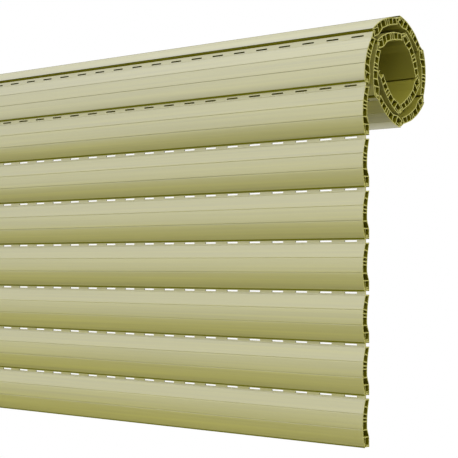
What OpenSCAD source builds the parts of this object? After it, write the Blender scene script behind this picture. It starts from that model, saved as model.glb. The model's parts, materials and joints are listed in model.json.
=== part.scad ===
// Exterior roller shutter curtain: hollow bowed slats, hooked into each other.
// The lower slats hang straight, the upper ones are wound into a roll behind them.
// X runs along the slats, the outside face looks to -Y, and +Z is up.
// The origin is the middle of the underside of the bottom slat's front lip.

/* [Slat] */
// Length of every slat, from open end to open end
slat_w = 980; // [300:10:2400]
// Height that one slat covers, from hinge to hinge
pitch = 55; // [50:1:70]
// Thickness of the hollow body at its middle, from its front face to its back face
body_t = 9; // [8:0.1:10]
// Radius of the bowed front face
bow_r = 72; // [65:1:110]
// Radius of the hollow back face
back_r = 92; // [80:1:160]
// Thickness of the front wall and of the lip below it
front_wall = 1.2; // [0.8:0.1:1.6]
// Thickness of the back wall
back_wall = 1.1; // [0.8:0.1:1.6]
// Thickness of the ribs between the chambers
rib_t = 1.3; // [0.8:0.1:1.8]
// How far the back of the slat's top stands above its front
top_rise = 0.4; // [0.2:0.1:1]
// Depth of the two fine grooves along the front face
groove_d = 0.4; // [0.2:0.1:0.7]

/* [Interlock] */
// Radius of the bead that the hook of the slat below hangs on
bead_r = 1.5; // [1.2:0.1:2]
// Web that carries the bead from the back wall
web_t = 1.2; // [0.8:0.1:1.6]
// Clearance around the hook, on the bead and inside the foot
play = 0.3; // [0.25:0.05:0.5]
// Thickness of the hook and of the neck below it
hook_t = 1.1; // [0.8:0.1:1.4]
// How far a slat slides up into the next one until the light slots are shut
travel = 3.4; // [2.8:0.1:4.5]
// How far the front lip hangs below the hinge
lip_drop = 2; // [1.8:0.1:3]
// Height left free above the hook when the slots are shut
hook_spare = 2.2; // [0.5:0.1:3]
// Thickness of the wall that guides the neck inside the foot
guide_t = 0.9; // [0.7:0.1:1.2]

/* [Light slots] */
// Length of a light slot
slot_len = 16; // [10:0.5:22]
// Height of a light slot
slot_h = 1.7; // [1.4:0.1:2.6]
// Distance from one light slot to the next
slot_pitch = 32.5; // [28:0.5:45]
// Least length of neck left between the end slots and the slat's ends
slot_margin = 8; // [6:1:20]
// How far the light slots lie below the lip that covers them
slot_below_lip = 0.7; // [0.2:0.1:0.8]

/* [Roll] */
// Distance from the middle of the roll to the innermost hook
core_r = 36; // [34:0.5:80]
// How far the hinge where the roll starts lies below the middle of the roll, in degrees
roll_start = 13; // [5:0.5:20]
// Least space between one turn of the roll and the next
turn_gap = 0.8; // [0.2:0.1:6]
// How far the innermost slat leans outwards onto the turn around it, in degrees
tail_lean = 3; // [0:0.5:5]

/* [Hidden] */
NODES = [
    "bottom_slat",
    "hanging_slat_2",
    "hanging_slat_3",
    "hanging_slat_4",
    "hanging_slat_5",
    "hanging_slat_6",
    "lead_slat",
    "roll_slat_01",
    "roll_slat_02",
    "roll_slat_03",
    "roll_slat_04",
    "roll_slat_05",
    "roll_slat_06",
    "roll_slat_07",
    "roll_slat_08",
    "roll_slat_09",
    "roll_slat_10",
    "top_slat"
];
slat_count = len(NODES);
hanging_count = 7;
roll_count = slat_count - hanging_count;
slat_colour = "#BBB792";
$fn = 96;

// Hook of the slat: an arch over the bead of the slat above, on a neck in line with its front
hook_in = bead_r + play;
hook_out = hook_in + hook_t;
hook_tip = asin((web_t / 2 + play) / hook_in);
foot_in = hook_out + play;
foot_out = foot_in + back_wall;
foot_ceiling = hook_out + travel + play + hook_spare;
foot_floor = web_t / 2;

// Neck and shoulder: the lip above stops just over the shoulder when the slots are shut
neck_base = pitch - lip_drop - travel - play;
slot_mid = pitch - lip_drop - slot_below_lip - slot_h / 2;
slot_step_count = floor((slat_w - 2 * slot_margin - slot_len) / slot_pitch);

// Front face: an arc whose lip just clears the neck behind it
bow_mid = (neck_base - foot_in + play - lip_drop) / 2;
lip_half = lip_drop + bow_mid;
bow_y = sqrt(pow(bow_r - front_wall, 2) - pow(lip_half, 2)) - foot_in;
slat_front = bow_y - bow_r;
back_y = slat_front + body_t + back_r;
chamber_front_r = bow_r - front_wall;
chamber_back_r = back_r + back_wall;
rib_r = bow_r - body_t / 2;
function arc_y(middle, r, z) = middle - sqrt(r * r - pow(z - bow_mid, 2));
lip_mid_y = (arc_y(bow_y, bow_r, -lip_drop) - foot_in) / 2;

// Top of the body: a slope up to the neck, then a gentle rise to the back
top_back_y = arc_y(back_y, back_r, neck_base + top_rise);
top_slope = top_rise / (top_back_y + hook_in);
slat_depth = max(top_back_y, foot_out) - slat_front;

// Chambers, as shares of the pitch, at the ribs that part them
rib_shares = [0.313, 0.474, 0.538, 0.613, 0.749];
ribs = [for (s = rib_shares) s * pitch];
foot_chamber_low = foot_ceiling + rib_t;
bulge_top = ribs[0] + rib_t;
groove_shares = [0.324, 0.615];
groove_w = 2 * groove_d;
reach = 3 * pitch;

// Hinges of the roll: one pitch apart on a spiral that widens from the innermost hook.
// A turn leaves room for a slat, or for a hinge's lip behind the middle of the next slat out.
lip_reach = norm([arc_y(bow_y, bow_r, -lip_drop), lip_drop]);
chord_dip = pitch * pitch / (8 * (core_r + slat_depth));
hinge_room = lip_reach + chord_dip + slat_front + body_t;
turn = max(slat_depth, hinge_room) + turn_gap;
widest_step = 150;
halvings = 40;
function spiral_r(a) = core_r + turn * a / 360;
function spiral_point(a) = spiral_r(a) * [cos(a), sin(a)];
function next_angle(a, low, high, n) =
    let (mid = (low + high) / 2)
    n == 0 ? mid
    : norm(spiral_point(mid) - spiral_point(a)) < pitch ? next_angle(a, mid, high, n - 1)
    : next_angle(a, low, mid, n - 1);
function spiral_angles(n) =
    n == 0 ? [0]
    : let (before = spiral_angles(n - 1), a = before[n - 1])
      concat(before, [next_angle(a, a, a + widest_step, halvings)]);
function steps(points) = [for (i = [1 : len(points) - 1]) points[i] - points[i - 1]];
function turned(a) = a < 0 ? a + 360 : a;
function bend(step, before) = turned(atan2(step[0], step[1]) - atan2(before[0], before[1]));
function sum_to(list, n) = n < 0 ? 0 : list[n] + sum_to(list, n - 1);

angles = spiral_angles(roll_count);
roll_points = [
    for (i = [roll_count : -1 : 0])
        let (a = angles[roll_count] - angles[i] - roll_start)
        spiral_r(angles[i]) * [-cos(a), sin(a)]
];
roll_steps = steps(roll_points);
bends = [
    for (i = [0 : roll_count - 1])
        bend(roll_steps[i], i == 0 ? [0, 1] : roll_steps[i - 1]) - (i == roll_count - 1 ? tail_lean : 0)
];
widest_bend = max(bends);

// Heel behind the hook's room: it clears the neck at the widest bend, and the slat below when shut
heel_bent = (hook_in + foot_out * cos(widest_bend)) / sin(widest_bend) - play;
heel_shut = lip_drop - top_slope * (foot_out + hook_in);
heel = min(heel_bent, heel_shut);

// Place and lean of each slat, counted from the bottom slat
lead = hanging_count - 1;
hang_y = -lip_mid_y;
lead_head = [hang_y, lip_drop + hanging_count * pitch];
function lean(k) = k <= lead ? 0 : sum_to(bends, k - lead - 1);
function foot(k) =
    k <= lead ? [hang_y, lip_drop + k * pitch]
    : lead_head + roll_points[k - lead - 1] - roll_points[0];

// Disc inside the bowed front face or a wall behind it
module front_disc(r) {
    translate([bow_y, bow_mid])
        circle(r, $fn = 360);
}

// Disc behind the hollow back face or a wall in front of it
module back_disc(r) {
    translate([back_y, bow_mid])
        circle(r, $fn = 360);
}

// Everything between two heights
module level(low, high) {
    translate([-reach, low])
        square([2 * reach, high - low]);
}

// Wedge of the bow between two heights on the middle of the wall
module bow_wedge(low, high) {
    a = asin((low - bow_mid) / rib_r);
    b = asin((high - bow_mid) / rib_r);
    translate([bow_y, bow_mid])
        polygon([[0, 0], [-2 * bow_r * cos(a), 2 * bow_r * sin(a)], [-2 * bow_r * cos(b), 2 * bow_r * sin(b)]]);
}

// What lies above the slat's top, lowered by a wall for the chamber below it
module above_top(drop) {
    polygon([
        [-reach, neck_base + hook_out - reach - drop],
        [-hook_out, neck_base - drop],
        [-hook_in, neck_base - drop],
        [reach, neck_base + top_slope * (reach + hook_in) - drop],
        [-reach, reach]
    ]);
}

// Region of the foot, which stands out behind the hollow back face
module foot_bulge() {
    polygon([
        [slat_front, bulge_top],
        [arc_y(back_y, back_r, bulge_top), bulge_top],
        [foot_out, foot_ceiling],
        [foot_out, -reach],
        [slat_front, -reach]
    ]);
}

// Solid of the body from the lip to the shoulder, before the chambers
module body_blank() {
    intersection() {
        difference() {
            front_disc(bow_r);
            difference() {
                back_disc(back_r);
                foot_bulge();
            }
        }
        level(-lip_drop, pitch);
    }
}

// Chambers that the ribs part, with a slanted one at the top
module chambers() {
    difference() {
        intersection() {
            front_disc(chamber_front_r);
            for (i = [0 : len(ribs) - 1])
                bow_wedge(ribs[i] + rib_t / 2, i == len(ribs) - 1 ? pitch : ribs[i + 1] - rib_t / 2);
        }
        back_disc(chamber_back_r);
        above_top(rib_t);
    }
}

// Chambers of the foot: one above the hook's room and a narrow one in front of it
module foot_chambers() {
    low = foot_chamber_low;
    high = ribs[0] - rib_t / 2;
    intersection() {
        front_disc(chamber_front_r);
        polygon([
            [-reach, low],
            [foot_in, low],
            [arc_y(back_y, chamber_back_r, high), high],
            [-reach, high]
        ]);
    }
    intersection() {
        front_disc(chamber_front_r);
        translate([-reach, foot_floor + rib_t])
            square([reach - foot_in - guide_t, foot_ceiling - foot_floor - rib_t]);
    }
}

// Bead on its web, which the hook of the slat below hangs on and turns about
module bead() {
    circle(bead_r);
    translate([0, -web_t / 2])
        square([foot_out, web_t]);
}

// Room for the hook of the slat below, open downwards between the lip and the heel
module hook_room() {
    difference() {
        intersection() {
            front_disc(chamber_front_r);
            polygon([
                [-reach, -reach],
                [reach, -reach],
                [reach, -heel],
                [foot_in, -heel],
                [foot_in, foot_ceiling],
                [-foot_in, foot_ceiling],
                [-foot_in, foot_floor],
                [-reach, foot_floor]
            ]);
        }
        bead();
    }
}

// Neck and hook, centred on the next hinge up
module hook() {
    translate([0, pitch]) {
        difference() {
            circle(hook_out);
            circle(hook_in);
            translate([-reach, -reach])
                square([2 * reach, reach]);
            polygon([[0, 0], [reach, 0], [reach, reach * tan(hook_tip)]]);
        }
        translate([-hook_out, neck_base - pitch - rib_t])
            square([hook_t, pitch - neck_base + rib_t]);
    }
}

// Fine grooves in the front face
module grooves() {
    for (s = groove_shares)
        translate([arc_y(bow_y, bow_r, s * pitch), s * pitch])
            rotate(45)
                square(groove_w / sqrt(2), center = true);
}

// Cross-section of every slat, with its own hinge at the origin
module slat_section() {
    difference() {
        union() {
            difference() {
                body_blank();
                above_top(0);
                chambers();
                foot_chambers();
                hook_room();
            }
            hook();
        }
        grooves();
    }
}

// Row of round-ended light slots through the neck
module light_slots() {
    straight = slot_len - slot_h;
    translate([0, 0, slot_mid])
        rotate([90, 0, 0])
            linear_extrude(4 * hook_out, center = true)
                for (i = [0 : slot_step_count])
                    translate([(i - slot_step_count / 2) * slot_pitch, 0]) {
                        square([straight, slot_h], center = true);
                        for (side = [-1, 1])
                            translate([side * straight / 2, 0])
                                circle(d = slot_h, $fn = 32);
                    }
}

// One slat, hung or wound in its place
module slat(k) {
    color(slat_colour)
        translate([0, foot(k)[0], foot(k)[1]])
            rotate([-lean(k), 0, 0])
                difference() {
                    rotate([90, 0, 90])
                        linear_extrude(slat_w, center = true)
                            slat_section();
                    light_slots();
                }
}

for (k = [0 : slat_count - 1])
    slat(k);
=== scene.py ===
# %% [markdown]
# # A roller shutter curtain
# The curtain is a stack of identical hollow plastic slats, each hooked into the next one. The lower slats
# hang straight, and the upper ones are wound into a roll behind them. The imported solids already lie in
# their true places, so this script only reads those places. It then draws the slat's section again with
# the finer things that a real extrusion has: rounded corners, a face in three shallow bands, sawn ends and
# punched light slots. Each finished slat stands for one solid and moves with it.

# %% Load the frame
import json
import math

import bpy
import numpy as np
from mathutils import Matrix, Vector
from mathutils.geometry import delaunay_2d_cdt

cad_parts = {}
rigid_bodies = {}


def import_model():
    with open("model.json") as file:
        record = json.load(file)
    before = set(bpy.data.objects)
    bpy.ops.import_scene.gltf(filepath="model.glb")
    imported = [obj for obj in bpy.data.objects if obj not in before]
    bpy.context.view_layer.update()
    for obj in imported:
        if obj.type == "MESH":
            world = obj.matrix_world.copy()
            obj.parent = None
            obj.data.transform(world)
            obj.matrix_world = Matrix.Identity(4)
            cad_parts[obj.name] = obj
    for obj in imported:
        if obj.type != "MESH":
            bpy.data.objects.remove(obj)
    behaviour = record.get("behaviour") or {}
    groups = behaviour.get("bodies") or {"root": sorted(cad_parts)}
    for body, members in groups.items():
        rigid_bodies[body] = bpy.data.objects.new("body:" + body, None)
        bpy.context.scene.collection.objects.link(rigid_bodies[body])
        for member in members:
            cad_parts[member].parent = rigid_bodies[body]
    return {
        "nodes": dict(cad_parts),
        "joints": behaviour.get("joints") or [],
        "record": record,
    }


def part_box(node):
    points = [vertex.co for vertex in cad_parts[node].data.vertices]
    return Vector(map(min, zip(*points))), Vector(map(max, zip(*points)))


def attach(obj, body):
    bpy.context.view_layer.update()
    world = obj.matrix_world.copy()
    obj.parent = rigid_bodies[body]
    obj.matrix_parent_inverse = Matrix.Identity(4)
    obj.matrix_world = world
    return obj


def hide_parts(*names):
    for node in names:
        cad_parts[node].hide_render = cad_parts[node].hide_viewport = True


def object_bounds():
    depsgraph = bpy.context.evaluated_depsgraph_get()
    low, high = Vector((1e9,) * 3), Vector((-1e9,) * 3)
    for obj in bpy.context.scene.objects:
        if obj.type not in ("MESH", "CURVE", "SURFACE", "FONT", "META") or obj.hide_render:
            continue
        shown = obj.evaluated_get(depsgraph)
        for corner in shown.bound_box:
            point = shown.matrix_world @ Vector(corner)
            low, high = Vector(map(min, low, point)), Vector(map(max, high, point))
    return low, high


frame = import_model()
cad_low, cad_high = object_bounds()
print("solids:", len(frame["nodes"]), "box in metres:", tuple(cad_low), tuple(cad_high))

# %% [markdown]
# ## Where each slat hangs or lies
# A slat lies between two hinges: the bead in its own foot, and the bead of the next slat up, which its hook
# goes round. One could measure the solids for that, but the frame's joints already name the hinge lines.
# So the hinges are read from the joints, and a slat's lean is the direction from its foot to its head. The
# free hook of the last slat is one of the mounts, and the hanging slats lie one pitch apart.

# %% Read the hinges and the lean of every slat
hinge_joints = [j for j in frame["joints"] if j["type"] == "hinge"]
hinge_of = {j["child"]: np.array(j["pos_m"]) for j in hinge_joints}
next_up = {j["parent"]: j["child"] for j in hinge_joints}
lead = (set(next_up) - set(next_up.values())).pop()
roll = [next_up[lead]]
while roll[-1] in next_up:
    roll.append(next_up[roll[-1]])
hanging = [name for name in frame["nodes"] if name not in roll]
lip_level = {name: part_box(name)[0].z for name in hanging}
levels = sorted(lip_level.values())
pitch_m = levels[1] - levels[0]
first_hinge = hinge_of[roll[0]]
lip_drop_m = first_hinge[2] - pitch_m - lip_level[lead]
free_hook = next(np.array(m["pos_m"]) for m in frame["record"]["mounts"] if m["name"] == "top_hook")

feet = {name: np.array([0, first_hinge[1], lip_level[name] + lip_drop_m]) for name in hanging}
heads = {name: feet[name] + np.array([0, 0, pitch_m]) for name in hanging}
feet.update({name: hinge_of[name] for name in roll})
heads.update({name: hinge_of[after] for name, after in zip(roll, roll[1:])})
heads[roll[-1]] = free_hook
leans = {name: math.atan2(*(heads[name] - feet[name])[1:]) for name in feet}
for name in feet:
    print(f"{name}: foot at {feet[name].round(4)} m, lean {math.degrees(leans[name]):.1f} degrees")

# %% [markdown]
# ## The section, as its maker would draw it
# The section is drawn in millimetres, with the foot's hinge at the origin, y towards the window and z up.
# The front face is a bow, the back face is a hollow bow, and ribs part the space between them into chambers.
# The same few sizes drive all of it, so a bead, its hook and the room around the hook always fit.

# %% Sizes of the section in millimetres
MM = 0.001
pitch = pitch_m / MM
lip_drop = lip_drop_m / MM
slat_length = (cad_high.x - cad_low.x) / MM
body_t = 9.0  # depth from front to back, at the bow's middle
bow_r = 72.0  # radius of the bowed front
back_r = 92.0  # radius of the hollow back
front_wall = 1.2
back_wall = 1.1
rib_t = 1.3  # ribs between the chambers
top_rise = 0.4  # the top slants up by this towards the back
groove_d = 0.4  # depth of the two fine grooves
bead_r = 1.5  # bead in the foot
web_t = 1.2  # web that carries the bead
play = 0.3  # air between faces that move
hook_t = 1.1  # wall of the hook
travel = 3.4  # how far a hook slides in its room
hook_spare = 2.2  # room that is left above the hook then
guide_t = 0.9  # wall in front of the hook's room
slot_len = 16.0
slot_h = 1.7
slot_pitch = 32.5
slot_margin = 8.0  # at least this much between a slot and the sawn end
slot_below_lip = 0.7  # from the next slat's lip down to the slot
rib_shares = np.array([0.313, 0.474, 0.538, 0.613, 0.749])  # heights of the ribs, in pitches
groove_shares = np.array([0.324, 0.615])  # heights of the grooves, in pitches

hook_in = bead_r + play
hook_out = hook_in + hook_t
foot_in = hook_out + play
foot_out = foot_in + back_wall
foot_ceiling = hook_out + travel + play + hook_spare
foot_floor = web_t / 2
neck_base = pitch - lip_drop - travel - play
print(f"pitch {pitch:.1f}, lip {lip_drop:.1f} below the hinge, length {slat_length:.0f} mm")

# %% Circles of the front and back faces
bow_mid = (neck_base - foot_in + play - lip_drop) / 2
inner_bow_r = bow_r - front_wall
bow_y = math.sqrt(inner_bow_r**2 - (lip_drop + bow_mid) ** 2) - foot_in
back_y = bow_y - bow_r + body_t + back_r
inner_back_r = back_r + back_wall
rib_r = bow_r - body_t / 2


def arc_y(middle, radius, z):
    """Front of a circle at height z: its middle, less the root of the radius squared less the height squared.
    The height counts from the bow's middle."""
    return middle - np.sqrt(radius**2 - (z - bow_mid) ** 2)


top_back_y = arc_y(back_y, back_r, neck_base + top_rise)
top_slope = top_rise / (top_back_y + hook_in)
# The heel ends the foot at the back. It clears the top below it, bent as far as it goes or slid shut.
widest_bend = math.radians(max(j["range_deg"][1] for j in hinge_joints))
heel_bent = (hook_in + foot_out * math.cos(widest_bend)) / math.sin(widest_bend) - play
heel_shut = lip_drop - top_slope * (foot_out + hook_in)
heel = min(heel_bent, heel_shut)
ribs = rib_shares * pitch
bulge_top = ribs[0] + rib_t
print(f"front face {bow_y - bow_r:.2f}, back of the top {top_back_y:.2f}, back of the foot {foot_out:.2f} mm")

# %% [markdown]
# ## Sides and corners
# Every outline here is a ring of sides: straight lines, round arcs and shallow bows. A plastic profile has no
# knife edges, because the die rounds them. A Bevel modifier could round the finished mesh, but it would have
# to work around hundreds of thin faces. It is simpler to round the drawing itself: each side is cut short
# at its corner, and a small curve leads over to the next side.

# %% Sides of an outline


def line(start, end):
    """Straight side: its two ends."""
    return np.array([start, end], float)


def arc(middle, radius, start_deg, end_deg, count):
    """Round side: the middle plus the radius, turned in even steps from one angle to the other."""
    turn = np.radians(np.linspace(start_deg, end_deg, count))
    return np.array(middle) + radius * np.column_stack((np.cos(turn), np.sin(turn)))


def bow(start, end, bulge, count):
    """Shallow side: the chord from start to end, pushed to its right by bulge times 4 t (1 - t)."""
    t = np.linspace(0, 1, count)[:, None]
    chord = np.subtract(end, start)
    right = np.array([chord[1], -chord[0]]) / np.hypot(*chord)
    return np.array(start) + t * chord + 4 * bulge * t * (1 - t) * right


def front_arc(radius, z_start, z_end, count):
    """Stretch of a circle about the bow's middle, at even steps of height."""
    z = np.linspace(z_start, z_end, count)
    return np.column_stack((arc_y(bow_y, radius, z), z))


def back_arc(radius, z_start, z_end, count):
    """Stretch of a circle about the back face's middle, at even steps of height."""
    z = np.linspace(z_start, z_end, count)
    return np.column_stack((arc_y(back_y, radius, z), z))


print("a quarter turn in three points:", arc((0, 0), 1, 0, 90, 3).round(3).tolist())

# %% Corners of an outline
CORNER_POINTS = 3
CORNER_SHARE = 0.45


def shortened(side, at_start, at_end):
    """The side with a length taken off each end, found by walking along its points."""
    walk = np.concatenate(([0], np.cumsum(np.hypot(*np.diff(side, axis=0).T))))
    low, high = at_start, walk[-1] - at_end
    kept = np.concatenate(([low], walk[(walk > low) & (walk < high)], [high]))
    return np.column_stack((np.interp(kept, walk, side[:, 0]), np.interp(kept, walk, side[:, 1])))


def outline(sides, corners):
    """Closed ring of sides. The corner after each side is the quadratic curve
    (1-t)^2 A + 2t(1-t) C + t^2 B from the shortened side's end A to the next one's start B, with the
    sharp corner C as its control point. A corner takes at most a share of the sides beside it.
    Returns the points and the number of the side that each point belongs to."""
    t = np.linspace(0, 1, CORNER_POINTS + 2)[1:-1, None]
    lengths = np.array([np.hypot(*np.diff(side, axis=0).T).sum() for side in sides])
    corners = np.minimum(corners, CORNER_SHARE * np.minimum(lengths, np.roll(lengths, -1)))
    before = np.roll(corners, 1)
    short = [shortened(side, a, b) for side, a, b in zip(sides, before, corners)]
    points, owners = [], []
    for i, side in enumerate(short):
        start = short[(i + 1) % len(short)][0]
        sharp = sides[i][-1]
        curve = (1 - t) ** 2 * side[-1] + 2 * t * (1 - t) * sharp + t**2 * start
        piece = np.vstack((side, curve)) if corners[i] > 0 else side[:-1]
        points.append(piece)
        owners.append(np.full(len(piece), i))
    return np.vstack(points), np.concatenate(owners)


print("each rounded corner gets", CORNER_POINTS, "points of its own")

# %% [markdown]
# ## The outside of the section
# The ring starts under the lip and runs round against the clock: through the hook's room with its bead, up
# the back, over the hook, and down the face. On the real profile the face isn't one bow. Two fine grooves
# part it into three bands, and the upper two are flatter than the bow, so the light steps at the grooves. A
# picture of the steps on one smooth bow would not follow the light. So each band is a chord between two
# points of the solid's own bow, bulging by a share of what the full bow would.

# %% Face of the slat, from the shoulder down to the lip
BAND_BULGES = (0.15, 0.5, 1.0)  # upper, middle and lower band, as shares of the full bow
BAND_POINTS = 18
LIP_ROUND = 1.6  # height of the lip's slanted edge
LIP_EDGE = 0.7  # flat that is left under the lip
groove_half = groove_d

# The shoulder slopes at 45 degrees from the neck's foot to the bow. A quadratic equation gives its end.
shoulder_run = neck_base + hook_out - bow_mid
shoulder_half = (bow_y - shoulder_run) / 2
shoulder_y = shoulder_half - math.sqrt(shoulder_half**2 - (bow_y**2 + shoulder_run**2 - bow_r**2) / 2)
shoulder = (shoulder_y, neck_base + hook_out + shoulder_y)
low_groove, high_groove = groove_shares * pitch
lip_foot = (-foot_in - LIP_EDGE, -lip_drop)
lip_bend = (arc_y(bow_y, bow_r, LIP_ROUND - lip_drop), LIP_ROUND - lip_drop)


def band(z_start, z_end, share):
    """One band of the face: the chord between two heights on the bow, with a share of the bow's own bulge,
    which is the height squared over eight radii."""
    start = (arc_y(bow_y, bow_r, z_start), z_start)
    end = (arc_y(bow_y, bow_r, z_end), z_end)
    bulge = (z_end - z_start) ** 2 / (8 * bow_r)
    return bow(start, end, share * bulge, BAND_POINTS)


def groove(z):
    """One fine groove: two slants that meet behind the face."""
    edges = [(arc_y(bow_y, bow_r, z + s * groove_half), z + s * groove_half) for s in (1, -1)]
    bottom = (arc_y(bow_y, bow_r, z) + groove_d, z)
    return [line(edges[0], bottom), line(bottom, edges[1])]


face_sides = [
    band(shoulder[1], high_groove + groove_half, BAND_BULGES[0]),
    *groove(high_groove),
    band(high_groove - groove_half, low_groove + groove_half, BAND_BULGES[1]),
    *groove(low_groove),
    band(low_groove - groove_half, lip_bend[1], BAND_BULGES[2]),
    line(lip_bend, lip_foot),
]
face_corners = [0.12, 0.08, 0.12, 0.12, 0.08, 0.12, 0.8, 0.25]
print("face:", sum(len(s) for s in face_sides), "points in", len(face_sides), "sides")

# %% Sides of the lip, the hook's room and the bead
LIP_INSIDE_POINTS = 8
BEAD_POINTS = 28
bead_turn = math.degrees(math.asin(web_t / 2 / bead_r))
bead_side = math.sqrt(bead_r**2 - (web_t / 2) ** 2)

room_sides = [
    line(lip_foot, (-foot_in, -lip_drop)),
    front_arc(inner_bow_r, -lip_drop, foot_floor, LIP_INSIDE_POINTS),
    line((arc_y(bow_y, inner_bow_r, foot_floor), foot_floor), (-foot_in, foot_floor)),
    line((-foot_in, foot_floor), (-foot_in, foot_ceiling)),
    line((-foot_in, foot_ceiling), (foot_in, foot_ceiling)),
    line((foot_in, foot_ceiling), (foot_in, web_t / 2)),
    line((foot_in, web_t / 2), (bead_side, web_t / 2)),
    arc((0, 0), bead_r, bead_turn, 360 - bead_turn, BEAD_POINTS),
    line((bead_side, -web_t / 2), (foot_in, -web_t / 2)),
    line((foot_in, -web_t / 2), (foot_in, -heel)),
    line((foot_in, -heel), (foot_out, -heel)),
]
room_corners = [0.25, 0.25, 0.25, 0.4, 0.4, 0.25, 0.15, 0.15, 0.25, 0.25, 0.3]
print("room:", sum(len(s) for s in room_sides), "points in", len(room_sides), "sides")

# %% Sides of the back and the hook
BACK_POINTS = 24
HOOK_IN_POINTS = 20
HOOK_OUT_POINTS = 24
tip_turn = math.degrees(math.asin((web_t / 2 + play) / hook_in))
head = (0, pitch)
inner_tip = arc(head, hook_in, tip_turn, tip_turn, 1)[0]
outer_tip = arc(head, hook_out, tip_turn, tip_turn, 1)[0]

back_sides = [
    line((foot_out, -heel), (foot_out, foot_ceiling)),
    line((foot_out, foot_ceiling), (arc_y(back_y, back_r, bulge_top), bulge_top)),
    back_arc(back_r, bulge_top, neck_base + top_rise, BACK_POINTS),
    line((top_back_y, neck_base + top_rise), (-hook_in, neck_base)),
]
back_corners = [0.8, 1.2, 0.4, 0.3]
hook_sides = [
    line((-hook_in, neck_base), (-hook_in, pitch)),
    arc(head, hook_in, 180, tip_turn, HOOK_IN_POINTS),
    line(inner_tip, outer_tip),
    arc(head, hook_out, tip_turn, 180, HOOK_OUT_POINTS),
    line((-hook_out, pitch), (-hook_out, neck_base)),
    line((-hook_out, neck_base), shoulder),
]
hook_corners = [0, 0.3, 0.3, 0, 0.9, 0.9]
print("back and hook:", len(back_sides), "and", len(hook_sides), "sides")

# %% Ring of the whole outside
outer_sides = room_sides + back_sides + hook_sides + face_sides
outer_corners = np.array(room_corners + back_corners + hook_corners + face_corners)
outer, outer_owner = outline(outer_sides, outer_corners)
neck_back_side = len(room_sides) + len(back_sides)
neck_front_side = neck_back_side + len(hook_sides) - 2
lip_side = len(outer_sides) - 1
print("outside:", len(outer), "points")

# %% [markdown]
# ## The chambers
# The ribs run square to the bow, so a rib's sides are spokes from the bow's middle. A chamber is the ring of
# two spokes, a stretch of the front wall's inside and a stretch of the back wall's inside. The top chamber
# follows the slanted top instead, and two more sit in the foot, above and in front of the hook's room. A
# chamber's ring runs with the clock, so that its wall faces into the hollow.

# %% Chambers between two ribs
CHAMBER_CORNER = 0.4
CHAMBER_POINTS = 7


def spoke_ends(z):
    """Where a spoke through height z, on the wall's middle, meets the front and the back chamber circle.
    On the back, the spoke's length p solves p^2 + 2 d p cos a + d^2 = R^2, d being the circles' distance."""
    a = math.asin((z - bow_mid) / rib_r)
    ray = np.array([-math.cos(a), math.sin(a)])
    d = back_y - bow_y
    reach = -d * math.cos(a) + math.sqrt(inner_back_r**2 - (d * math.sin(a)) ** 2)
    middle = np.array([bow_y, bow_mid])
    return middle + inner_bow_r * ray, middle + reach * ray


def ring_of(sides):
    """A chamber's closed ring, all corners alike, turned to run with the clock."""
    points, _ = outline(sides, np.full(len(sides), CHAMBER_CORNER))
    return points[::-1]


def rib_chamber(low, high):
    """Chamber between two ribs: lower spoke, back wall, upper spoke, front wall."""
    front_low, back_low = spoke_ends(low)
    front_high, back_high = spoke_ends(high)
    return ring_of([
        line(front_low, back_low),
        back_arc(inner_back_r, back_low[1], back_high[1], CHAMBER_POINTS),
        line(back_high, front_high),
        front_arc(inner_bow_r, front_high[1], front_low[1], CHAMBER_POINTS),
    ])


middle_chambers = [rib_chamber(a + rib_t / 2, b - rib_t / 2) for a, b in zip(ribs, ribs[1:])]
print("chambers between ribs:", len(middle_chambers))

# %% Top chamber
FINE_POINTS = 200


def meeting(side, start, slope):
    """Where a wall's curve crosses the straight line that rises from start by slope.
    The gap between the two changes its sign there."""
    gap = side[:, 1] - (start[1] + slope * (side[:, 0] - start[0]))
    i = np.flatnonzero(np.diff(np.sign(gap)))[0]
    share = gap[i] / (gap[i] - gap[i + 1])
    return side[i] + share * (side[i + 1] - side[i])


ceiling = neck_base - rib_t
front_low, back_low = spoke_ends(ribs[-1] + rib_t / 2)
rise_start = (-hook_in, ceiling)
front_top = (arc_y(bow_y, inner_bow_r, ceiling), ceiling)
back_top = meeting(back_arc(inner_back_r, back_low[1], pitch, FINE_POINTS), rise_start, top_slope)
top_chamber = ring_of([
    line(front_low, back_low),
    back_arc(inner_back_r, back_low[1], back_top[1], CHAMBER_POINTS),
    line(back_top, rise_start),
    line(rise_start, front_top),
    front_arc(inner_bow_r, front_top[1], front_low[1], CHAMBER_POINTS),
])
print("top chamber:", len(top_chamber), "points")

# %% Chambers of the foot
foot_low = foot_ceiling + rib_t
foot_high = ribs[0] - rib_t / 2
foot_high_front = (arc_y(bow_y, inner_bow_r, foot_high), foot_high)
foot_high_back = (arc_y(back_y, inner_back_r, foot_high), foot_high)
foot_chamber = ring_of([
    line((arc_y(bow_y, inner_bow_r, foot_low), foot_low), (foot_in, foot_low)),
    line((foot_in, foot_low), foot_high_back),
    line(foot_high_back, foot_high_front),
    front_arc(inner_bow_r, foot_high, foot_low, CHAMBER_POINTS),
])
guide_front = -foot_in - guide_t
slim_low = foot_floor + rib_t
slim_chamber = ring_of([
    line((arc_y(bow_y, inner_bow_r, slim_low), slim_low), (guide_front, slim_low)),
    line((guide_front, slim_low), (guide_front, foot_ceiling)),
    line((guide_front, foot_ceiling), (arc_y(bow_y, inner_bow_r, foot_ceiling), foot_ceiling)),
    front_arc(inner_bow_r, foot_ceiling, slim_low, CHAMBER_POINTS),
])
chambers = [slim_chamber, foot_chamber, *middle_chambers, top_chamber]
print("chambers:", len(chambers), "with", sum(len(c) for c in chambers), "points")

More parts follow.
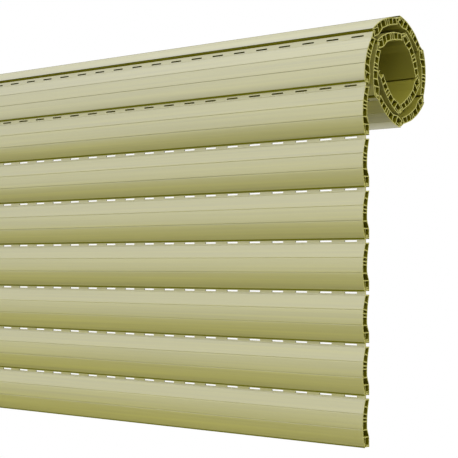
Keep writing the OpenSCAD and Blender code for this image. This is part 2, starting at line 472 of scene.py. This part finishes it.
# %% [markdown]
# ## One slat, carried along its length
# The slat is an extrusion, so its walls are the section carried along x. Four stations are enough: the two
# sawn ends, and one a hair inside each, between which the edge is broken by a small chamfer. The ends are
# flat faces with the chambers as holes. The neck's two sides are flat plates with a row of light slots in
# them. A Boolean could cut the slots, but it leaves long slivers. Here each plate is filled around its
# slots, and the slots get their own walls, so the mesh is closed and clean.

# %% Carry a ring along the slat
EDGE_BREAK = 0.08
INSIDE = 1
FILL_TOLERANCE = 1e-6
half_length = slat_length / 2
stations = np.array([-half_length, -half_length + EDGE_BREAK, half_length - EDGE_BREAK, half_length])
insets = np.array([EDGE_BREAK, 0, 0, EDGE_BREAK])


def carried(ring):
    """The ring at every station: x is the station, y and z are the ring's, moved into the wall by the inset.
    Into the wall is left of the way from the point before to the point after."""
    along = np.roll(ring, -1, 0) - np.roll(ring, 1, 0)
    into = np.column_stack((-along[:, 1], along[:, 0])) / np.hypot(*along.T)[:, None]
    section = ring[None] + insets[:, None, None] * into[None]
    x = np.broadcast_to(stations[:, None, None], (*section.shape[:2], 1))
    return np.concatenate((x, section), axis=2)


def walls(first, count):
    """Quads between neighbouring points and stations of a carried ring whose vertices start at first."""
    ids = first + np.arange(len(stations) * count).reshape(len(stations), count)
    ahead = np.roll(ids, -1, 1)
    return np.stack((ids[:-1], ahead[:-1], ahead[1:], ids[1:]), axis=-1)


def filled(rings, ids):
    """Triangles of a flat face with holes, all against the clock: a Delaunay mesh that keeps the rings as
    edges, less the triangles that lie in a hole. From any other one, a ray crosses the rings an odd number
    of times."""
    sizes = [len(ring) for ring in rings]
    firsts = np.cumsum([0] + sizes[:-1])
    edges = [(f + i, f + (i + 1) % n) for f, n in zip(firsts, sizes) for i in range(n)]
    start = np.vstack(rings)
    end = np.vstack([np.roll(ring, -1, 0) for ring in rings])
    _, _, fill, origins, _, _ = delaunay_2d_cdt([Vector(p) for p in start], edges, [], INSIDE, FILL_TOLERANCE)
    triangles = np.array([o[0] for o in origins])[np.array(fill)]
    middle = start[triangles].mean(1)[:, None]
    rise = np.where(end[:, 1] == start[:, 1], 1, end[:, 1] - start[:, 1])
    crossing = start[:, 0] + (middle[..., 1] - start[:, 1]) / rise * (end[:, 0] - start[:, 0])
    passes = (start[:, 1] > middle[..., 1]) != (end[:, 1] > middle[..., 1])
    inside = (passes & (middle[..., 0] < crossing)).sum(1) % 2 == 1
    return ids[triangles[inside]]


print("stations along x in mm:", stations.tolist())

# %% Light slots
SLOT_END_POINTS = 9
slot_mid = pitch - lip_drop - slot_below_lip - slot_h / 2
slot_steps = math.floor((slat_length - 2 * slot_margin - slot_len) / slot_pitch)
slot_places = (np.arange(slot_steps + 1) - slot_steps / 2) * slot_pitch
straight = slot_len / 2 - slot_h / 2
right_end = arc((straight, slot_mid), slot_h / 2, -90, 90, SLOT_END_POINTS)
left_end = arc((-straight, slot_mid), slot_h / 2, 90, 270, SLOT_END_POINTS)
slot = np.vstack((right_end, left_end))
slots = slot[None] + np.column_stack((slot_places, np.zeros(len(slot_places))))[:, None]
print("light slots:", len(slots), "in each slat")

# %% Vertices of the slat
rings = [outer, *chambers]
counts = [len(r) for r in rings]
starts = np.cumsum([0] + [len(stations) * c for c in counts])
ring_points = np.concatenate([carried(r).reshape(-1, 3) for r in rings])

slot_count, slot_size = slots.shape[:2]
slot_ids = np.arange(slot_count * slot_size).reshape(slot_count, slot_size)
front_ids, back_ids = starts[-1] + slot_ids, starts[-1] + slot_ids.size + slot_ids
slot_flat = slots.reshape(-1, 2)
slot_points = [np.insert(slot_flat, 1, y, axis=1) for y in (-hook_out, -hook_in)]
points = np.concatenate((ring_points, *slot_points))
print("vertices:", len(ring_points), "in rings,", len(points) - len(ring_points), "round the slots")

# %% Walls of the slat, and which finish each one gets
LONG_SPAN = 1
EDGE_SPANS = (0, 2)
LIP_ROUND_STRIPS = 2

all_walls = [walls(s, c) for s, c in zip(starts, counts)]
is_plate = np.zeros(counts[0], bool)
plate_edge = {}
for side in (neck_back_side, neck_front_side):
    plate_edge[side] = np.flatnonzero(outer_owner == side)[0]
    is_plate[plate_edge[side]] = True
long_walls = [w[LONG_SPAN] for w in all_walls]
outer_walls = long_walls[0]
is_face = (outer_owner >= neck_front_side) & (outer_owner < lip_side) & ~is_plate
is_back = (outer_owner >= len(room_sides)) & (outer_owner < neck_back_side)
# The lip's underside and the last strips of its rounded edge get the near black finish: painted shade in the
# seam between two slats.
is_seam_shade = outer_owner == lip_side
edge_round = np.flatnonzero(outer_owner == lip_side - 1)[-LIP_ROUND_STRIPS:]
is_seam_shade[edge_round] = True
is_face[edge_round] = False
# The rest of the outside, the hook and its room, gets the darker finish with the chambers: painted shade in
# the hollows.
is_inner = ~is_face & ~is_back & ~is_seam_shade & ~is_plate
inner_walls = [outer_walls[is_inner], *long_walls[1:]]
broken_edges = [w[i] for w in all_walls for i in EDGE_SPANS]
slot_walls = np.stack((front_ids, np.roll(front_ids, -1, 1), np.roll(back_ids, -1, 1), back_ids), axis=-1)
print("walls of the outside: face", is_face.sum(), "back", is_back.sum(), "lip", is_seam_shade.sum())

# %% Neck plates and sawn ends
END_STATIONS = (0, len(stations) - 1)


def plate(side, ring_ids):
    """One side of the neck: the rectangle that the wall would have been, filled around the slots."""
    corner_ids = outer_walls[plate_edge[side]]
    corners = points[corner_ids][:, [0, 2]]
    ids = np.concatenate((corner_ids, ring_ids.ravel()))
    return filled([corners, *slots], ids)


end_ids = [np.concatenate([s + k * c + np.arange(c) for s, c in zip(starts, counts)]) for k in END_STATIONS]
end_rings = [carried(r)[-1][:, 1:] for r in rings]
near_end = filled(end_rings, end_ids[1])
far_end = filled(end_rings, end_ids[0])[:, ::-1]
neck_front = plate(neck_front_side, front_ids)
neck_back = plate(neck_back_side, back_ids)[:, ::-1]
print("triangles:", len(near_end), "in each end,", len(neck_front), "in each side of the neck")

# %% Faces of the slat, finish by finish
face_faces = [outer_walls[is_face], neck_front]
back_faces = [outer_walls[is_back]]
inner_faces = [*inner_walls, neck_back]
# The slot walls get the near black finish too: painted shade in the slots.
seam_shade_faces = [outer_walls[is_seam_shade], slot_walls.reshape(-1, 4)]
cut_faces = [*broken_edges, near_end, far_end]
groups = [face_faces, back_faces, inner_faces, seam_shade_faces, cut_faces]
faces = [f for group in groups for part in group for f in part.tolist()]
finish = np.repeat(np.arange(len(groups)), [sum(len(part) for part in group) for group in groups])
print("one slat:", len(points), "vertices,", len(faces), "faces")

# %% [markdown]
# ## The plastic
# The slats are rigid plastic, coloured right through, with a satin skin. Drawing it through the die leaves
# very fine lines along the slat, broader streaks and a faint cloudiness. All three are noise, stretched
# along x. Each finish could have its own, but they belong to the same plastic, so they are one node group
# that every finish shares. The noise reads each point's place in its own slat, stored as an attribute,
# because a slat in the roll lies at an angle to the frame's axes.

# %% Node group of the drawing lines
NOISES = {  # stretch per metre along x, y and z, and detail
    "Lines": ((3, 900, 900), 3),
    "Clouds": ((5, 40, 40), 2),
    "Streaks": ((2.5, 420, 420), 2),
}


def new_node(tree, kind, **values):
    """A node of the tree, with plain attributes set by name."""
    node = tree.nodes.new(kind)
    for key, value in values.items():
        setattr(node, key, value)
    return node


def drawing_lines_group():
    """Three noises of a place, each of them noise at the place times a stretch: fine lines and broader
    streaks that barely change along x, and clouds that change slowly all over."""
    group = bpy.data.node_groups.new("drawing_lines", "ShaderNodeTree")
    group.interface.new_socket("Place", in_out="INPUT", socket_type="NodeSocketVector")
    for name in NOISES:
        group.interface.new_socket(name, in_out="OUTPUT", socket_type="NodeSocketFloat")
    inside = new_node(group, "NodeGroupInput")
    outside = new_node(group, "NodeGroupOutput")
    for name, (stretch, detail) in NOISES.items():
        scale = new_node(group, "ShaderNodeVectorMath", operation="MULTIPLY")
        scale.inputs[1].default_value = stretch
        noise = new_node(group, "ShaderNodeTexNoise")
        noise.inputs["Scale"].default_value = 1
        noise.inputs["Detail"].default_value = detail
        group.links.new(inside.outputs["Place"], scale.inputs[0])
        group.links.new(scale.outputs[0], noise.inputs["Vector"])
        group.links.new(noise.outputs["Fac"], outside.inputs[name])
    return group


drawing_lines = drawing_lines_group()
print("node group:", drawing_lines.name, [s.name for s in drawing_lines.interface.items_tree])

# %% [markdown]
# A finish is one material: a Principled shader whose colour, roughness and normal follow the noises. All
# five finishes of the slat need the same few links, so small helpers make them. One carries a noise over to
# a range, one multiplies a colour by a value, and one turns a noise into a bump.

# %% Helpers of a finish


def plastic(name):
    """A material with a Principled shader, and the drawing lines at each point's own place."""
    material = bpy.data.materials.new(name)
    material.use_nodes = True
    tree = material.node_tree
    shader = tree.nodes["Principled BSDF"]
    place = new_node(tree, "ShaderNodeAttribute", attribute_name="own_place")
    lines = new_node(tree, "ShaderNodeGroup", node_tree=drawing_lines)
    tree.links.new(place.outputs["Vector"], lines.inputs["Place"])
    return material, tree, shader, lines, place.outputs["Vector"]


def ranged(tree, source, low, high, start=0, end=1):
    """A value between start and end, carried over to the range from low to high."""
    node = new_node(tree, "ShaderNodeMapRange")
    node.inputs["From Min"].default_value = start
    node.inputs["From Max"].default_value = end
    node.inputs["To Min"].default_value = low
    node.inputs["To Max"].default_value = high
    tree.links.new(source, node.inputs["Value"])
    return node.outputs["Result"]


def bumped(tree, height, strength, distance, shader):
    """A bump of the shader's normal by a height."""
    node = new_node(tree, "ShaderNodeBump")
    node.inputs["Strength"].default_value = strength
    node.inputs["Distance"].default_value = distance
    tree.links.new(height, node.inputs["Height"])
    tree.links.new(node.outputs["Normal"], shader.inputs["Normal"])


def tinted(tree, colour, amount):
    """A plain colour times a value that lies around 1."""
    node = new_node(tree, "ShaderNodeMix", data_type="RGBA", blend_type="MULTIPLY")
    node.inputs["Factor"].default_value = 1
    node.inputs["A"].default_value = colour
    tree.links.new(amount, node.inputs["B"])
    return node.outputs["Result"]


print("helpers:", plastic.__name__, ranged.__name__, bumped.__name__, tinted.__name__)

# %% [markdown]
# ### The face
# The plastic itself is a deep olive khaki. What makes the outside pale is its satin gloss: a face that looks
# up mirrors the bright sky, softly, and a face that looks down doesn't. So the tones of the bands come mostly
# from the gloss: one colour and a broad gloss give the pale tops and the olive lips. The colour is also
# darkened above the lip and in the lower groove, by the height in the slat: this is painted shade, and the
# streaks run through it.

# %% Finish of the face
FACE_COLOUR = (0.38, 0.353, 0.035, 1)
FACE_IOR = 2.6
FACE_GLOSS = 1
FACE_ROUGHNESS = (0.38, 0.5)
FACE_CLOUDS = (0.95, 1.05)
FACE_BUMP = (0.05, 0.0002)  # strength, and height in metres
# Painted shade: the face's colour darkens towards the lip and in the lower groove.
PAINTED_SHADE_REACH = 9.5  # height of the painted shade above the lip, in millimetres
LIP_PAINTED_SHADE = 0.68
GROOVE_PAINTED_SHADE = 0.75
STREAK_TONES = (0.9, 1.1)
STREAK_NOISE = (0.3, 0.7)


def face_material():
    """Satin outside. The colour is multiplied by painted shade, which fades with the height above the lip,
    by painted shade in the lower groove, by clouds and by streaks. The gloss is broad, with the drawing lines
    in it, and the bump is faint."""
    material, tree, shader, lines, place = plastic("slat_face")
    parts = new_node(tree, "ShaderNodeSeparateXYZ")
    tree.links.new(place, parts.inputs["Vector"])
    # Painted shade: darker towards the lip, fading out over the height above it.
    lip_edge = -lip_drop * MM
    lip_painted_shade = ranged(tree, parts.outputs["Z"], LIP_PAINTED_SHADE, 1, lip_edge, lip_edge + PAINTED_SHADE_REACH * MM)
    # Painted shade in the lower groove.
    in_groove = new_node(tree, "ShaderNodeMath", operation="COMPARE")
    in_groove.inputs[1].default_value = low_groove * MM
    in_groove.inputs[2].default_value = groove_half * MM
    tree.links.new(parts.outputs["Z"], in_groove.inputs[0])
    groove_painted_shade = ranged(tree, in_groove.outputs[0], 1, GROOVE_PAINTED_SHADE)
    clouds = ranged(tree, lines.outputs["Clouds"], *FACE_CLOUDS)
    streaks = ranged(tree, lines.outputs["Streaks"], *STREAK_TONES, *STREAK_NOISE)
    shade = lip_painted_shade
    for change in (groove_painted_shade, clouds, streaks):
        product = new_node(tree, "ShaderNodeMath", operation="MULTIPLY")
        tree.links.new(shade, product.inputs[0])
        tree.links.new(change, product.inputs[1])
        shade = product.outputs[0]
    tree.links.new(tinted(tree, FACE_COLOUR, shade), shader.inputs["Base Color"])
    tree.links.new(ranged(tree, lines.outputs["Lines"], *FACE_ROUGHNESS), shader.inputs["Roughness"])
    shader.inputs["IOR"].default_value = FACE_IOR
    shader.inputs["Specular IOR Level"].default_value = FACE_GLOSS
    bumped(tree, lines.outputs["Lines"], *FACE_BUMP, shader)
    return material


face_plastic = face_material()
print("finish:", face_plastic.name)

# %% [markdown]
# ### The back, the inside and the lip
# The back has no painted shade, a little less gloss and a fuller colour. The hook, its room
# and the chambers have almost no gloss and a darker colour, which is painted shade in the hollows. Darkest
# are the lip's edge and the walls of the slots: their near black colour is painted shade in the seam, and
# they draw the line between two slats. The three differ only in their numbers, so one function makes them.

# %% Finishes of the back, the inside and the lip
BACK_COLOUR = (0.40, 0.372, 0.045, 1)
BACK_IOR = 1.75
BACK_GLOSS = 1.0
BACK_ROUGHNESS = (0.34, 0.46)
# Painted shade: the hook, its room and the chambers get a darker colour than the face.
INNER_SHADE_COLOUR = (0.24, 0.22, 0.008, 1)
# Painted shade: the near black of the seam under each lip and of the slot walls.
SEAM_SHADE_COLOUR = (0.1, 0.098, 0.003, 1)
HIDDEN_GLOSS = 0.05
HIDDEN_ROUGHNESS = (0.5, 0.66)
PLAIN_CLOUDS = (0.94, 1.06)
PLAIN_BUMP = (0.08, 0.0002)


def plain_material(name, colour, gloss, roughness):
    """Plastic not darkened by height: a colour times clouds, with the drawing lines in its gloss and its
    bump.
    """
    material, tree, shader, lines, _ = plastic(name)
    clouds = ranged(tree, lines.outputs["Clouds"], *PLAIN_CLOUDS)
    tree.links.new(tinted(tree, colour, clouds), shader.inputs["Base Color"])
    tree.links.new(ranged(tree, lines.outputs["Lines"], *roughness), shader.inputs["Roughness"])
    shader.inputs["Specular IOR Level"].default_value = gloss
    bumped(tree, lines.outputs["Lines"], *PLAIN_BUMP, shader)
    return material


back_plastic = plain_material("slat_back", BACK_COLOUR, BACK_GLOSS, BACK_ROUGHNESS)
back_plastic.node_tree.nodes["Principled BSDF"].inputs["IOR"].default_value = BACK_IOR
# Painted shade in the hollows.
inner_shade_plastic = plain_material("slat_inner", INNER_SHADE_COLOUR, HIDDEN_GLOSS, HIDDEN_ROUGHNESS)
# Painted shade in the seam between two slats.
seam_shade_plastic = plain_material("slat_lip", SEAM_SHADE_COLOUR, HIDDEN_GLOSS, HIDDEN_ROUGHNESS)
print("finishes:", back_plastic.name, inner_shade_plastic.name, seam_shade_plastic.name)

# %% [markdown]
# ### The sawn ends
# A saw leaves the ends dull and a little paler than the skin, so the rims stand out against the dark
# chambers. Its marks could be cut into the mesh, but they are far too fine. So the ends have a paler colour,
# more roughness and a stronger bump than the rest.

# %% Finish of the sawn ends
CUT_COLOUR = (0.52, 0.49, 0.12, 1)
CUT_CLOUDS = (0.9, 1.08)
CUT_ROUGHNESS = (0.5, 0.75)
CUT_BUMP = (0.15, 0.0003)


def cut_material():
    """Bare plastic as a saw leaves it: one tone, clouded, rough, with marks in its bump."""
    material, tree, shader, lines, _ = plastic("slat_cut")
    clouds = ranged(tree, lines.outputs["Clouds"], *CUT_CLOUDS)
    tree.links.new(tinted(tree, CUT_COLOUR, clouds), shader.inputs["Base Color"])
    tree.links.new(ranged(tree, lines.outputs["Lines"], *CUT_ROUGHNESS), shader.inputs["Roughness"])
    bumped(tree, lines.outputs["Lines"], *CUT_BUMP, shader)
    return material


cut_plastic = cut_material()
print("finish:", cut_plastic.name)

# %% [markdown]
# ## Hang and wind the slats
# All slats share one shape, so the arrays are worked out once, and only the coordinates change from slat to
# slat: a turn about x by the lean, and a shift to the foot's hinge. The turned points go straight into the
# mesh, and the object itself stays at the origin, as the solids do. The place that the noise reads is the
# one before the turn. It is moved along x from slat to slat, so that no two slats have the same streaks.

# %% Build every slat
SHARP_ANGLE = math.radians(28)
PLACE_STEP = 1.3  # metres, more than a slat's length


def turned(local, lean):
    """Points turned about x: y' = y cos + z sin, z' = z cos - y sin."""
    x, y, z = local.T
    cos, sin = math.cos(lean), math.sin(lean)
    return np.column_stack((x, y * cos + z * sin, z * cos - y * sin))


def build_slat(name, number):
    """One slat as a mesh in its place, riding on its own body and standing for its solid."""
    local = points * MM
    mesh = bpy.data.meshes.new(name + "_slat")
    mesh.from_pydata(turned(local, leans[name]) + feet[name], [], faces)
    for finish_material in (face_plastic, back_plastic, inner_shade_plastic, seam_shade_plastic, cut_plastic):
        mesh.materials.append(finish_material)
    mesh.polygons.foreach_set("material_index", finish.astype(np.int32))
    own_place = local + np.array([number * PLACE_STEP, 0, 0])
    mesh.attributes.new("own_place", "FLOAT_VECTOR", "POINT").data.foreach_set("vector", own_place.ravel())
    mesh.shade_smooth()
    mesh.set_sharp_from_angle(angle=SHARP_ANGLE)
    mesh.validate()
    slat = bpy.data.objects.new(name + "_profile", mesh)
    bpy.context.scene.collection.objects.link(slat)
    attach(slat, name)
    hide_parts(name)
    return slat


slats = [build_slat(name, number) for number, name in enumerate(hanging + roll)]
print("slats:", len(slats), "with", sum(len(s.data.polygons) for s in slats), "faces in all")

# %% [markdown]
# ## Floor and light
# The curtain is shown before plain white, in soft light. If the white came from bright lamps, the pale
# slats would burn out. So the floor and the world show white to the camera and to reflections, and the light
# that they give is set apart from that. The Light Path node tells the two kinds of ray apart. The stage has
# two level sheets of paper, and one helper makes both.

# %% What the camera and reflections see
SEEN_BY = ("Is Camera Ray", "Is Glossy Ray", "Is Transmission Ray")


def seen(tree):
    """1 for a ray from the camera, also by way of a reflection or through glass, and 0 for soft light."""
    path = new_node(tree, "ShaderNodeLightPath")
    first = path.outputs[SEEN_BY[0]]
    for name in SEEN_BY[1:]:
        either = new_node(tree, "ShaderNodeMath", operation="MAXIMUM")
        tree.links.new(first, either.inputs[0])
        tree.links.new(path.outputs[name], either.inputs[1])
        first = either.outputs[0]
    return first


print("seen by:", ", ".join(SEEN_BY))

# %% Sheets of paper
PAPER_ROUGHNESS = 0.9
WHITE = (1, 1, 1, 1)


def level_sheet(name, low, high, level, material):
    """A level sheet between two corners in x and y."""
    corners = [(low[0], low[1]), (high[0], low[1]), (high[0], high[1]), (low[0], high[1])]
    mesh = bpy.data.meshes.new(name)
    mesh.from_pydata([(x, y, level) for x, y in corners], [], [(0, 1, 2, 3)])
    mesh.materials.append(material)
    sheet = bpy.data.objects.new(name, mesh)
    bpy.context.scene.collection.objects.link(sheet)
    return sheet


def paper(name, tone):
    """Matt paper of one tone."""
    material = bpy.data.materials.new(name)
    material.use_nodes = True
    shader = material.node_tree.nodes["Principled BSDF"]
    shader.inputs["Base Color"].default_value = tone
    shader.inputs["Roughness"].default_value = PAPER_ROUGHNESS
    shader.inputs["Specular IOR Level"].default_value = 0
    return material, material.node_tree, shader


print("paper has a roughness of", PAPER_ROUGHNESS)

# %% [markdown]
# ### Floor
# The curtain hangs freely, so the floor lies well below it. It is a wide sheet of pale paper that takes the
# soft shadow, and its glow makes up what is missing to white, for the camera and reflections alone.

# %% Floor
FLOOR_LEVEL = -2.6
FLOOR_HALF = 6
FLOOR_TONE = (0.5, 0.5, 0.5, 1)
FLOOR_GLOW = 0.8

floor_paper, floor_tree, floor_shader = paper("floor_paper", FLOOR_TONE)
floor_shader.inputs["Emission Color"].default_value = WHITE
glow = new_node(floor_tree, "ShaderNodeMath", operation="MULTIPLY")
glow.inputs[1].default_value = FLOOR_GLOW
floor_tree.links.new(seen(floor_tree), glow.inputs[0])
floor_tree.links.new(glow.outputs[0], floor_shader.inputs["Emission Strength"])
floor = level_sheet("floor", (-FLOOR_HALF, -FLOOR_HALF), (FLOOR_HALF, FLOOR_HALF), FLOOR_LEVEL, floor_paper)
print(floor.name, "at", FLOOR_LEVEL, "m")

# %% [markdown]
# ### Dark card
# A photographer lays a dark card in front of a glossy thing, below it, to keep the white floor out of its
# undersides. This one does the same for the lips of the slats, which would look milky without it. Only
# reflections see it, so it isn't in the picture and takes no light away.

# %% Dark card
CARD_REACH = 30
CARD_BACK = 0.35
CARD_LEVEL = -0.05
CARD_TONE = (0.2, 0.2, 0.2, 1)

card_paper, _, _ = paper("card_paper", CARD_TONE)
card = level_sheet("black_card", (-CARD_REACH, -CARD_REACH), (CARD_REACH, CARD_BACK), CARD_LEVEL, card_paper)
card.visible_camera = False
card.visible_diffuse = False
card.visible_shadow = False
print(card.name, "in front of the curtain at", CARD_LEVEL, "m, only in reflections")

# %% [markdown]
# ### World
# The world stands for the bright room. Its light comes mostly from above, so that tops are pale and
# undersides stay olive. A sky texture would bring in blue, so a plain white with a soft step at the horizon
# does better.

# %% World
SKY_UP, SKY_DOWN = 0.6, 0.1
SKY_FADE = 0.3


def studio_world():
    """White where the camera and reflections see it. As light, it rises smoothly from SKY_DOWN to SKY_UP,
    while the height of the direction goes from -SKY_FADE to SKY_FADE."""
    world = bpy.data.worlds.new("studio")
    world.use_nodes = True
    tree = world.node_tree
    background = tree.nodes["Background"]
    background.inputs["Color"].default_value = WHITE
    direction = new_node(tree, "ShaderNodeTexCoord")
    parts = new_node(tree, "ShaderNodeSeparateXYZ")
    tree.links.new(direction.outputs["Generated"], parts.inputs["Vector"])
    level = new_node(tree, "ShaderNodeMapRange", interpolation_type="SMOOTHSTEP")
    level.inputs["From Min"].default_value = -SKY_FADE
    level.inputs["From Max"].default_value = SKY_FADE
    level.inputs["To Min"].default_value = SKY_DOWN
    level.inputs["To Max"].default_value = SKY_UP
    tree.links.new(parts.outputs["Z"], level.inputs["Value"])
    strength = new_node(tree, "ShaderNodeMix", data_type="FLOAT")
    tree.links.new(seen(tree), strength.inputs["Factor"])
    tree.links.new(level.outputs["Result"], strength.inputs["A"])
    strength.inputs["B"].default_value = 1
    tree.links.new(strength.outputs["Result"], background.inputs["Strength"])
    return world


bpy.context.scene.world = studio_world()
print("world:", bpy.context.scene.world.name)

# %% [markdown]
# ### Lamps
# A key lamp from the right lights the open ends, and a large softbox from above puts the broad sheen on the
# roll. Two fills from below and in front and one behind keep the undersides and the inside of the roll from
# going black. These three aren't mirrored in the gloss, because they would show there as white spots.

# %% Lamps
LAMPS = {  # place and width in metres, power in watts, and whether the gloss mirrors it
    "key": ((2.6, -0.8, 1.7), 0.6, 26, True),
    "softbox": ((-2.4, 0.5, 5.0), 5, 34, True),
    "low_fill": ((0.0, -1.1, -2.1), 1.0, 52, False),
    "front_fill": ((0.0, -2.2, -1.4), 1.0, 16, False),
    "rear": ((0.4, 0.9, -0.55), 1.0, 9, False),
}

middle = (cad_low + cad_high) / 2
for name, (place, size, power, in_gloss) in LAMPS.items():
    lamp_data = bpy.data.lights.new(name, "AREA")
    lamp_data.size = size
    lamp_data.energy = power
    lamp = bpy.data.objects.new(name, lamp_data)
    lamp.location = place
    lamp.rotation_euler = (middle - Vector(place)).to_track_quat("-Z", "Y").to_euler()
    lamp.visible_glossy = in_gloss
    bpy.context.scene.collection.objects.link(lamp)
    print(name, "lamp at", place)

# %% [markdown]
# ## Camera
# The photograph was taken level, from the right, with its verticals upright. So the camera is level too, and
# a shift, not a tilt, brings the curtain into the frame. Its place and lens were worked out from the rows of
# the slats' joints, which all meet the horizon at one height.

# %% Camera at the photograph's view
FRAME_PX = 458
SENSOR_MM = 36
FOCAL_PX = 1246.5
HORIZON_ROW = 264.0
TURN_DEG = 39.33
CAMERA_PLACE = (1.211, -1.106, 0.194)

camera_data = bpy.data.cameras.new("camera")
camera_data.sensor_width = SENSOR_MM
camera_data.lens = FOCAL_PX / FRAME_PX * SENSOR_MM
camera_data.shift_y = (HORIZON_ROW - FRAME_PX / 2) / FRAME_PX
camera = bpy.data.objects.new("camera", camera_data)
camera.location = CAMERA_PLACE
camera.rotation_euler = (math.radians(90), 0, math.radians(TURN_DEG))
bpy.context.scene.collection.objects.link(camera)
bpy.context.scene.camera = camera
bpy.context.scene.view_settings.view_transform = "Standard"
print(f"camera: lens {camera_data.lens:.1f} mm, shift {camera_data.shift_y:.4f}")
